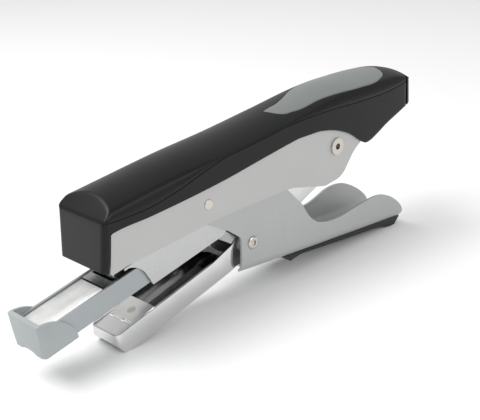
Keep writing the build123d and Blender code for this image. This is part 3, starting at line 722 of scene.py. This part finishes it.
def curve_through(points, steps=6):
    """Smooth open curve through points of the side view."""
    known = np.array(points, float)
    known = np.vstack((2 * known[0] - known[1], known, 2 * known[-1] - known[-2]))
    curve = []
    for a, b, c, d in zip(known, known[1:], known[2:], known[3:]):
        for t in np.arange(steps) / steps:
            curve.append(tuple(0.5 * (2 * b + (c - a) * t + (2 * a - 5 * b + 4 * c - d) * t ** 2
                                      + (3 * b - a - 3 * c + d) * t ** 3)))
    return curve + [tuple(known[-2])]


def lever_outline():
    """Side view of the lever: folded front with its ears, then the smooth line over the lobes."""
    ears = rounded(LEVER_FRONT + [(*LEVER_LOBES[0], 0)])[:-1]
    return ears + curve_through(LEVER_LOBES)


def make_lever():
    """Pressed steel lever: trough with flared lobes, pivot holes, cam slots and a pressed crease."""
    outer = trough_rows(LEVER_OUT, LEVER_BEND, 0.0)
    inner = trough_rows(LEVER_IN, LEVER_BEND - LEVER_OUT + LEVER_IN, LEVER_OUT - LEVER_IN)
    count, columns = outer.shape[:2]
    points, faces = shell(outer.reshape(-1, 3), inner.reshape(-1, 3), grid_faces(count, columns))
    lever = new_object("lever_shell", points, faces)
    cut(lever, side_solid("lever_side", lever_outline(), -THROUGH, THROUGH), "INTERSECT")
    front = [(20, 5), (LEVER_FRONT_FLOOR, 5), (LEVER_FRONT_FLOOR, 60), (20, 60)]
    cut(lever, side_solid("front_opening", front, -FRONT_ROOM, FRONT_ROOM))
    cut(lever, side_solid("pivot_bore", disc_outline(LEVER_PIVOT, RIVET_HOLE), -THROUGH, THROUGH))
    cut(lever, side_solid("cam_slots", slot_outline(), -THROUGH, THROUGH))
    flare(lever.data)
    smooth(lever.data, 35.0)
    return dress(lever, "lever_paint", "hand_lever", "hand_lever")


def flare(mesh):
    """Spread the rear lobes outwards and press the crease into the cheeks."""
    points = np.zeros(len(mesh.vertices) * 3)
    mesh.vertices.foreach_get("co", points)
    points = points.reshape(-1, 3)
    x, z = (points[:, 0] - SHIFT_X) / MM, points[:, 2] / MM
    side = np.sign(points[:, 1]) * (np.abs(points[:, 1]) > CHEEKS_OUTSIDE)
    reach = np.clip((x - FLARE_START) / FLARE_RUN, 0, 1)
    height = np.clip((z - LEVER_FLOOR(x) - FLARE_FOOT) / FLARE_HEIGHT, 0, 1)
    spread_out = FLARE_OUT * reach ** 2 * (3 - 2 * reach) * height ** 1.6
    bent = CREASE_X - CREASE_BEND * np.clip((z - BEND_FOOT) / BEND_HEIGHT, 0, 1) ** 2
    fade = np.clip((CREASE_TOP - z) / 2.0, 0, 1)
    ridge = CREASE_RIDGE * np.exp(-((x - bent) / CREASE_WIDTH) ** 2) * fade
    points[:, 1] += side * (spread_out + ridge) * MM
    mesh.vertices.foreach_set("co", points.ravel())
    mesh.update()


def lathe(name, centre, profile, side, count=48):
    """Body of revolution about a cross axis; profile is (distance outwards along y, radius)."""
    points = []
    for out, radius in profile:
        for k in range(count):
            angle = 2 * math.pi * k / count
            points.append((centre[0] + radius * math.cos(angle), side * out,
                           centre[1] + radius * math.sin(angle)))
    faces = ring_faces(len(profile), count)
    last = (len(profile) - 1) * count
    faces += [tuple(range(count))[::-1], tuple(range(last, last + count))]
    return new_object(name, points, faces, 40.0)


def rounded_head(seat, reach, radius, recess, depth):
    """Profile of a rivet head: shank foot, domed rim and a recess in the middle."""
    sunk, rim, roll = 1.4, 0.25, 0.35
    profile = [(seat - sunk, SHANK_RADIUS), (seat, SHANK_RADIUS), (seat, radius)]
    for degrees in range(0, 91, 15):
        angle = math.radians(degrees)
        profile.append((seat + rim + (reach - rim) * math.sin(angle),
                        recess + roll + (radius - recess - roll) * math.cos(angle)))
    return profile + [(seat + reach - 0.12, recess), (seat + reach - depth, recess * 0.9),
                      (seat + reach - depth - 0.05, 0.3)]


def make_lever_rivet():
    """Lever rivet: a shank right through with a small domed head at each end."""
    head = rounded_head(LEVER_OUT, reach=0.85, radius=2.5, recess=1.05, depth=0.7)
    rivet = lathe("lever_rivet_heads", LEVER_PIVOT, head, -1)
    other = lathe("lever_rivet_far", LEVER_PIVOT, head, 1)
    shank = side_solid("lever_rivet_shank", disc_outline(LEVER_PIVOT, SHANK_RADIUS),
                       -LEVER_OUT + 0.5, LEVER_OUT - 0.5)
    cut(rivet, other, "UNION")
    cut(rivet, shank, "UNION")
    return dress(rivet, "rivet_nickel", "anvil_arm", "lever_pivot")


def make_pad():
    """Rubber pad with a foot at each end and softened edges."""
    def bed(x):
        return float(LEVER_FLOOR(x)) + 0.25

    outline = rounded([
        (75.0, bed(75.0), 0), (75.3, 8.9, 0.3), (79.4, 5.6, 0.8), (85.8, 6.5, 4.0), (107.0, 4.4, 30.0),
        (135.0, 2.0, 8.0), (141.0, 0.0, 0.8), (144.4, 0.0, 1.2), (PAD_REAR, 2.9, 0.8),
        (PAD_REAR, bed(PAD_REAR), 0), (106.0, bed(106.0), 0),
    ])
    pad = side_solid("pad_rubber_foot", outline, -PAD_HALF, PAD_HALF)
    softened(pad, 0.55, 3, 40.0)
    return dress(pad, "pad_black", "hand_lever", "lever_pad")


# ---------------------------------------------------------------- anvil arm

ARM_OUT, ARM_IN, ARM_SHEET = 7.4, 6.65, 0.75
ARM_TIP, ARM_TIP_CORNER = -4.85, 2.4
PLAN_TIP, PLAN_HALF = -4.87, ARM_OUT + 0.02
ARM_HEIGHT, CORE_HEIGHT = 70.0, 74.0
ARM_FRONT = [(ARM_TIP, 7.0, 0), (-4.55, 3.4, 1.5), (-1.6, 0.0, 1.9), (1.6, 0.0, 3.0), (48.5, 12.2, 12.0),
             (86.3, 27.3, 20.0)]
ARM_REAR = [(98.0, 32.2, 6.0), (114.0, 44.6, 0)]
ARM_OPEN_REAR = 97.0
ARM_TRIM = [
    (-8.0, -5.0, 0), (92.0, 24.0, 0), (99.5, 33.55, 0), (110.6, 42.2, 5.5), (110.6, 52.4, 5.5),
    (98.5, 52.4, 5.0), (92.0, 41.5, 6.0), (64.0, 32.4, 4.0), (53.5, 28.0, 3.0), (50.6, 22.6, 4.0),
    (40.0, 18.4, 10.0), (16.0, 12.3, 8.0), (-8.0, 6.24, 0),
]


def arm_core():
    """Space inside the arm: up to its inner floor, and right through behind the last bend."""
    outline = [(x + (ARM_SHEET if x < 0 else 0), z + (ARM_SHEET if index else 0), radius)
               for index, (x, z, radius) in enumerate(ARM_FRONT)]
    outline += [(ARM_OPEN_REAR, 32.5, 0), (ARM_OPEN_REAR, 15.0, 0), (118.0, 15.0, 0), (118.0, CORE_HEIGHT, 0),
                (outline[0][0], CORE_HEIGHT, 0)]
    return side_solid("arm_core", rounded(outline), -ARM_IN, ARM_IN)


def make_arm():
    """Plated channel of folded steel with a rounded tip, open at the top."""
    outline = rounded(ARM_FRONT + ARM_REAR + [(114.0, ARM_HEIGHT, 0), (ARM_TIP, ARM_HEIGHT, 0)])
    arm = side_solid("arm_channel", outline, -ARM_OUT, ARM_OUT)
    plan = rounded([(PLAN_TIP, -PLAN_HALF, ARM_TIP_CORNER), (130.0, -PLAN_HALF, 0),
                    (130.0, PLAN_HALF, 0), (PLAN_TIP, PLAN_HALF, ARM_TIP_CORNER)])
    cut(arm, plan_solid("arm_plan", plan, -10, 80, (0, 2, 1)), "INTERSECT")
    cut(arm, arm_core())
    cut(arm, side_solid("arm_trim", rounded(ARM_TRIM), -THROUGH, THROUGH), "INTERSECT")
    cut(arm, side_solid("arm_rear_bore", disc_outline(PIVOT, PIVOT_RADIUS), -THROUGH, THROUGH))
    cut(arm, side_solid("arm_bore", disc_outline(LEVER_PIVOT, RIVET_HOLE), -THROUGH, THROUGH))
    softened(arm, 0.3, 3, 50.0)
    return dress(arm, "chrome_arm", "anvil_arm", "anvil_arm")


# ---------------------------------------------------------------- drawer

DRAWER_TRAVEL = 30.3
CAP_FRONT = -2.6 - DRAWER_TRAVEL
CAP_WALL = 1.5
CAP_TOP, CAP_LOW = 3.0, -9.6
CAP_HALF, CAP_FOOT_HALF = 8.5, 8.0
CAP_LEAN = 1.3
CAP_ARC_CENTRE, CAP_ARC_RADIUS, CAP_ARC_STRETCH = (-33.6, -9.4), 12.55, 1.09
CAP_CORNER, CAP_CORNER_BACK = 2.6, 1.6
ARCH_HALF, ARCH_RISE = 4.3, 1.5
DRAWER_OUT = 7.5
RAIL_HEIGHT = 8.0
ARM_ROOM = 7.75


def cap_outline():
    """Side view of the cap: upright front and a quarter-round rear."""
    inside = CAP_FRONT + CAP_WALL
    centre, radius, stretch = Vector(CAP_ARC_CENTRE), CAP_ARC_RADIUS, CAP_ARC_STRETCH
    outline = [(CAP_FRONT - CAP_LEAN, CAP_LOW + 0.9), (CAP_FRONT, CAP_TOP)]
    start = math.atan2(CAP_TOP - centre.y, (inside - centre.x) / stretch)
    for step in range(17):
        angle = start * (1 - step / 16) + math.radians(1.5) * step / 16
        outline.append((centre.x + radius * stretch * math.cos(angle), centre.y + radius * math.sin(angle)))
    return outline + [(-20.3, CAP_LOW + 0.1), (-32.4, CAP_LOW)]


def make_cap():
    """Moulded finger pull: tapering front, rounded corners, arched foot, open top."""
    cap = side_solid("drawer_cap_shell", cap_outline(), -CAP_HALF, CAP_HALF, tilted)
    arch = [(ARCH_HALF * math.cos(angle), CAP_LOW + 0.3 + ARCH_RISE * math.sin(angle))
            for angle in np.linspace(0, math.pi, 15)]
    front = rounded([(CAP_FOOT_HALF, CAP_LOW - 0.3, 0.9), (CAP_HALF, CAP_TOP + 0.2, 0),
                     (-CAP_HALF, CAP_TOP + 0.2, 0), (-CAP_FOOT_HALF, CAP_LOW - 0.3, 0.9)])
    front += [(-ARCH_HALF, CAP_LOW - 0.3)] + arch[::-1] + [(ARCH_HALF, CAP_LOW - 0.3)]
    cut(cap, plan_solid("cap_front", front, -40, -10, (1, 0, 2), tilted), "INTERSECT")
    plan = rounded([(-36, -CAP_HALF, CAP_CORNER), (-10, -CAP_HALF, 0), (-10, CAP_HALF, 0),
                    (-36, CAP_HALF, CAP_CORNER)])
    shifted = [(s + CAP_CORNER_BACK, y) for s, y in plan]
    cut(cap, plan_solid("cap_plan", shifted, -14, 6, (0, 2, 1), tilted), "INTERSECT")
    softened(cap, 0.6, 4, 30.0)
    inside = CAP_FRONT + CAP_WALL
    room = [(inside, -RAIL_HEIGHT), (0, -RAIL_HEIGHT), (0, 10), (inside, 10)]
    cut(cap, side_solid("cap_room", room, -DRAWER_OUT, DRAWER_OUT, tilted))
    under = [(inside, -14), (0, -14), (0, -RAIL_HEIGHT + 0.01), (inside, -RAIL_HEIGHT + 0.01)]
    cut(cap, side_solid("cap_underside", under, -ARM_ROOM, ARM_ROOM, tilted))
    return dress(cap, "cap_grey", "drawer", "drawer_cap")


STRIP_FRONT, STRIP_LENGTH = 0.7 - DRAWER_TRAVEL, 24.2
STAPLES = 48
CROWN_HALF, WIRE, LEG = 6.45, 0.5, 6.0
STAPLE_TOP = -0.25
STAPLE_BEND, WIRE_EASE, UNEVENNESS = 0.7, 0.11, 0.012


def staple_path():
    """Middle line of one staple across the drawer: up one leg, over the crown, down the other."""
    bend = STAPLE_BEND
    half, top = CROWN_HALF - WIRE / 2, STAPLE_TOP - WIRE / 2
    path = [(-half, STAPLE_TOP - LEG), (-half, top - 2.5)]
    for angle in np.linspace(math.pi, math.pi / 2, 5):
        path.append((-half + bend + bend * math.cos(angle), top - bend + bend * math.sin(angle)))
    path += [(-2.0, top)]
    return path + [(-y, t) for y, t in path[::-1]]


def make_staples():
    """Strip of glued staples, each its own bent wire with rounded edges."""
    path = np.array(staple_path())
    tangent = np.gradient(path, axis=0)
    tangent /= np.linalg.norm(tangent, axis=1)[:, None]
    across = np.column_stack((tangent[:, 1], -tangent[:, 0]))
    half, ease = WIRE / 2, WIRE_EASE
    section = [(half, half - ease), (half - ease, half), (ease - half, half), (-half, half - ease),
               (-half, ease - half), (ease - half, -half), (half - ease, -half), (half, ease - half)]
    pitch = STRIP_LENGTH / STAPLES
    random = np.random.default_rng(7)
    points, faces = [], []
    for index in range(STAPLES):
        middle = STRIP_FRONT + pitch * (index + 0.5)
        shift = random.normal(0, UNEVENNESS, 2)
        base = len(points)
        for (y, t), (out_y, out_t) in zip(path, across):
            for along, out in section:
                points.append((middle + along, y + out_y * out + shift[0], t + out_t * out + shift[1]))
        size = len(section)
        tube = ring_faces(len(path), size)
        ends = [tuple(range(size))[::-1], tuple(range((len(path) - 1) * size, len(path) * size))]
        faces += [tuple(corner + base for corner in face) for face in tube + ends]
    strip = new_object("staple_row", tilted(points), faces, 50.0)
    return dress(strip, "staple_wire", "drawer", "staple_strip")


# ---------------------------------------------------------------- springs

COIL_STEPS, COIL_SIDES = 22, 8
DEAD_TURN = 0.9


def coil(name, foot, axis, radius, wire, height, turns):
    """Compression spring with closed ends, standing on foot along axis; lengths in millimetres."""
    axis = Vector(axis).normalized()
    first = axis.orthogonal().normalized()
    second = axis.cross(first)
    steps, sides, dead = int(turns * COIL_STEPS), COIL_SIDES, DEAD_TURN
    points = []
    for step in range(steps + 1):
        turn = turns * step / steps
        rise = np.interp(turn, [0, dead, turns - dead, turns],
                         [wire / 2, wire * 1.35, height - wire * 1.35, height - wire / 2])
        angle = 2 * math.pi * turn
        out = first * math.cos(angle) + second * math.sin(angle)
        middle = Vector(foot) + out * radius + axis * rise
        for side in range(sides):
            around = 2 * math.pi * side / sides
            points.append(middle + (out * math.cos(around) + axis * math.sin(around)) * wire / 2)
    faces = ring_faces(steps + 1, sides)
    faces += [tuple(range(sides))[::-1], tuple(range(steps * sides, (steps + 1) * sides))]
    return new_object(name, [tuple(point) for point in points], faces, 80.0)


def make_springs():
    """Return spring, magazine spring and pusher spring, each a coil built along its own axis."""
    rail = Vector((math.cos(SLOPE), 0, math.sin(SLOPE)))
    square = Vector((-math.sin(SLOPE), 0, math.cos(SLOPE)))
    low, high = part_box("return_spring")
    foot = Vector((87.5, 0, low.z / MM))
    height = (high.z - low.z) / MM
    spring = coil("return_coil", foot, (0, 0, 1), radius=3.4, wire=0.9, height=height, turns=7)
    dress(spring, "spring_steel", "anvil_arm", "return_spring")
    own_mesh(spring)

    foot = tilted([(26.0, 0, 3.35)])[0]
    spring = coil("magazine_coil", foot, square, radius=3.2, wire=0.8, height=12.6, turns=6)
    dress(spring, "spring_steel", "magazine", "magazine_spring")
    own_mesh(spring)

    start, end = 18.2, 79.0
    foot = tilted([(end, 0, -4.6)])[0]
    spring = coil("pusher_coil", foot, -rail, radius=1.75, wire=0.5, height=end - start, turns=27)
    dress(spring, "spring_steel", "magazine", "pusher_spring")
    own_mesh(spring)


# ---------------------------------------------------------------- camera and studio

CAMERA_AT = (-174.508, -253.267, 169.370)
CAMERA_RIGHT = Vector((0.717507, -0.694917, -0.04769))
CAMERA_DOWN = Vector((-0.291092, -0.236946, -0.926888))
CAMERA_AHEAD = Vector((0.632811, 0.678931, -0.372295))


LENS, SENSOR = 75.0, 36.0
FLOOR_REACH, FLOOR_COLOR, FLOOR_ROUGH = 6.0, (0.9, 0.9, 0.9), 0.85
WORLD_COLOR, WORLD_STRENGTH = (1.0, 1.0, 1.0), 0.6
KEY_POWER, SIDE_POWER = 6.0, 2.6


def make_camera():
    """Camera that stands where the photo was taken from."""
    data = bpy.data.cameras.new("camera")
    data.lens = LENS
    data.sensor_width = SENSOR
    data.clip_start, data.clip_end = 0.01, 20.0
    camera = bpy.data.objects.new("camera", data)
    turn = Matrix((CAMERA_RIGHT, -CAMERA_DOWN, -CAMERA_AHEAD)).transposed()
    camera.matrix_world = Matrix.Translation(place(*CAMERA_AT)) @ turn.to_4x4()
    bpy.context.scene.collection.objects.link(camera)
    bpy.context.scene.camera = camera


def soft_light(name, at, aim, size, power):
    """Rectangular area light at one point, aimed at another; in metres and watts."""
    data = bpy.data.lights.new(name, "AREA")
    data.shape = "RECTANGLE"
    data.size, data.size_y = size
    data.energy = power
    light = bpy.data.objects.new(name, data)
    light.location = at
    light.rotation_mode = "QUATERNION"
    light.rotation_quaternion = (Vector(aim) - Vector(at)).to_track_quat("-Z", "Y")
    bpy.context.scene.collection.objects.link(light)


def make_stage():
    """White paper floor, even white surroundings and two soft lights."""
    floor_mesh = bpy.data.meshes.new("floor")
    reach = FLOOR_REACH
    floor_mesh.from_pydata([(-reach, -reach, 0), (reach, -reach, 0), (reach, reach, 0), (-reach, reach, 0)],
                           [], [(0, 1, 2, 3)])
    floor = bpy.data.objects.new("floor", floor_mesh)
    bpy.context.scene.collection.objects.link(floor)
    paper = blank("floor_paper", FLOOR_COLOR, FLOOR_ROUGH, Specular_IOR_Level=0.1)[0]
    floor_mesh.materials.append(paper)
    world = bpy.data.worlds.new("studio")
    world.use_nodes = True
    background = world.node_tree.nodes["Background"]
    background.inputs["Color"].default_value = (*WORLD_COLOR, 1)
    background.inputs["Strength"].default_value = WORLD_STRENGTH
    bpy.context.scene.world = world
    middle = (0.0, 0.0, 0.03)
    soft_light("key_light", (-0.35, 0.25, 0.75), middle, (0.7, 0.5), KEY_POWER)
    soft_light("side_light", (0.15, -0.9, 0.5), middle, (0.6, 0.4), SIDE_POWER)
    bpy.context.scene.view_settings.view_transform = "Standard"


make_camera()
make_stage()
make_casing()
make_grip()
make_arm()
make_lever()
make_lever_rivet()
make_pad()
make_cap()
make_staples()
make_springs()
